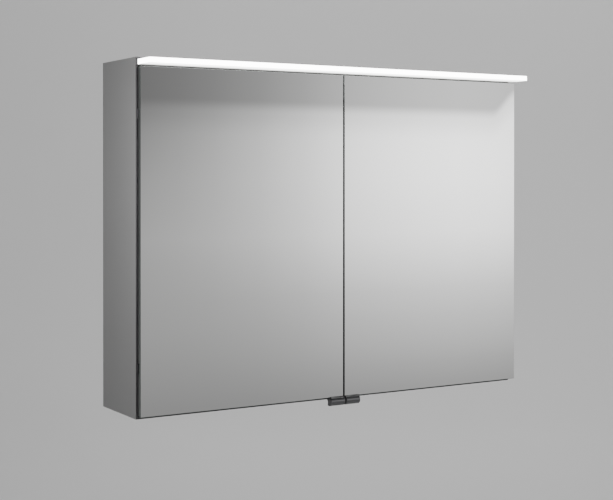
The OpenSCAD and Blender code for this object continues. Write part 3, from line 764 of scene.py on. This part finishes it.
dark_moulded = moulded("dark_moulded_plastic", (0.030, 0.030, 0.032), (0.045, 0.045, 0.048), 0.38)
low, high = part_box("cable_gland")
middle = (low + high) / 2
bore, nut_r, dome_r, neck_r = 0.0035, 0.007, 0.0055, 0.005
bm = bmesh.new()
nut_low, nut_high = low.z + 0.007, low.z + 0.012
dome = [(bore, nut_low), (bore, low.z + 0.0008), (bore + 0.0006, low.z), (dome_r - 0.001, low.z)]
for n in range(4):
    start = low.z + 0.0008 + n * 0.0015
    dome += [(dome_r, start), (dome_r, start + 0.0008), (dome_r - 0.0004, start + 0.001),
             (dome_r - 0.0004, start + 0.0013)]
turned(bm, dome + [(dome_r, nut_low), (bore, nut_low)], (middle.x, middle.y, 0), (0, 0, 1), steps=36)
nut = [(bore, nut_low), (nut_r - 0.0006, nut_low), (nut_r, nut_low + 0.0005), (nut_r, nut_high - 0.0002),
       (nut_r - 0.0003, nut_high), (bore, nut_high), (bore, nut_low)]
turned(bm, nut, (middle.x, middle.y, 0), (0, 0, 1), steps=6)
neck = [(bore, nut_high), (neck_r, nut_high), (neck_r, nut_high + 0.002), (0.0058, nut_high + 0.002),
        (0.0058, high.z - 0.0004), (0.0054, high.z), (bore, high.z), (bore, nut_high)]
turned(bm, neck, (middle.x, middle.y, 0), (0, 0, 1), steps=36)
piece("cable_gland_ribbed", bm, "carcass", [dark_moulded], ["cable_gland"])


def lead(bm, corners, r, bend):
    """A round lead through the corners, which it turns on an even bend."""
    curve = bpy.data.curves.new("lead", "CURVE")
    curve.dimensions = "3D"
    curve.bevel_depth = r
    curve.bevel_resolution = 5
    curve.resolution_u = 10
    curve.use_fill_caps = True
    knots = [(Vector(corners[0]), Vector(corners[1]) - Vector(corners[0]), 0)]
    for before, corner, after in zip(corners, corners[1:], corners[2:]):
        before, corner, after = Vector(before), Vector(corner), Vector(after)
        way_in, way_out = (corner - before).normalized(), (after - corner).normalized()
        knots += [(corner - way_in * bend, way_in, 1), (corner + way_out * bend, way_out, -1)]
    knots.append((Vector(corners[-1]), Vector(corners[-1]) - Vector(corners[-2]), 0))
    spline = curve.splines.new("BEZIER")
    spline.bezier_points.add(len(knots) - 1)
    for point, (place, way, turn) in zip(spline.bezier_points, knots):
        way = way.normalized()
        point.co = place
        point.handle_left_type = point.handle_right_type = "FREE"
        point.handle_left = place - way * (bend * 0.55 if turn < 0 else 0.0005)
        point.handle_right = place + way * (bend * 0.55 if turn > 0 else 0.0005)
    holder = bpy.data.objects.new("lead", curve)
    bpy.context.collection.objects.link(holder)
    bpy.context.view_layer.update()
    made = bpy.data.meshes.new_from_object(holder.evaluated_get(bpy.context.evaluated_depsgraph_get()))
    bm.from_mesh(made)
    bpy.data.objects.remove(holder)
    bpy.data.meshes.remove(made)
    bpy.data.curves.remove(curve)


# Leads. Round cable in a white sheath: one from the driver up through the top panel to the bar, one from the
# junction box to the driver, and one across to the switch.
sheath = moulded("white_cable_sheath", (0.70, 0.70, 0.69), (0.77, 0.77, 0.76), 0.42, grain_size=1500)
low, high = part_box("light_cable")
r = (high.x - low.x) / 2
bar_z = high.z - r
bm = bmesh.new()
run_y = high.y - r
lead_x = (low.x + high.x) / 2
lead(bm, [(lead_x, run_y, low.z), (lead_x, run_y, bar_z), (lead_x, low.y, bar_z)], r, bend=0.0045)
piece("light_lead", bm, "carcass", [sheath], ["light_cable"])

low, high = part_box("supply_cables")
r = (high.y - low.y) / 2
run_y, run_z = low.y + r, low.z + r
box_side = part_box("junction_box")[1].x
clip_places = ((box_side + 0.03, run_z), (box_side + 0.085, run_z))
bm = bmesh.new()
into_box = 0.003
lead(bm, [(low.x + r, run_y, -into_box), (low.x + r, run_y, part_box("led_driver")[0].z)], r, bend=0.02)
lead(bm, [(box_side - into_box, run_y, run_z), (high.x - r, run_y, run_z), (high.x - r, run_y, high.z)], r,
     bend=0.026)
piece("supply_leads", bm, "carcass", [sheath], ["supply_cables"])

# Lead clips. Two white moulded clips hold the switch lead to the back board, each with one small screw through
# its foot.
board_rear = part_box("back_panel")[1].y
clip_half, clip_wall, clip_foot, foot_t = 0.004, 0.0012, 0.008, 0.002
bm = bmesh.new()
for x, z in clip_places:
    block(bm, (x - clip_half, board_rear, z - r - clip_wall),
          (x + clip_half, run_y + r + 0.001, z + r + clip_wall))
    block(bm, (x - clip_half, board_rear, z - r - clip_foot), (x + clip_half, board_rear + foot_t, z - r))
soften(bm, 0.0008, 3)
for x, z in clip_places:
    screw(bm, (x, board_rear + foot_t, z - r - 0.0046), (0, -1, 0), head_r=0.0026, head_t=0.001,
          shank_r=0.0014, length=0.004, index=1)
piece("lead_clips", bm, "carcass", [white_moulded, screw_metal], [])

# Light switch, let flush into the back board of the right compartment. A square bezel frames a rocker with two
# faces that meet in a shallow V, and the rocker turns on two stub axles in the box behind.
bm = cast("switch_base")
soften(bm, 0.0006, 2)
piece("switch_box_moulded", bm, "carcass", [white_moulded], ["switch_base"])
low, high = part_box("switch_bezel")
bm = cast("switch_bezel")
soften(bm, 0.003, 5, only=lambda edge: abs((edge.verts[0].co - edge.verts[1].co).y) > 0.001
       and all(v.co.x < low.x + 1e-5 or v.co.x > high.x - 1e-5 for v in edge.verts))
soften(bm, 0.0006, 3, only=lambda edge: all(v.co.y < low.y + 1e-5 for v in edge.verts))
piece("switch_bezel_rounded", bm, "carcass", [gloss_moulded], ["switch_bezel"])
bm = cast("switch_rocker")
soften(bm, 0.0007, 3)
piece("switch_rocker_rounded", bm, "rocker", [gloss_moulded], ["switch_rocker"])
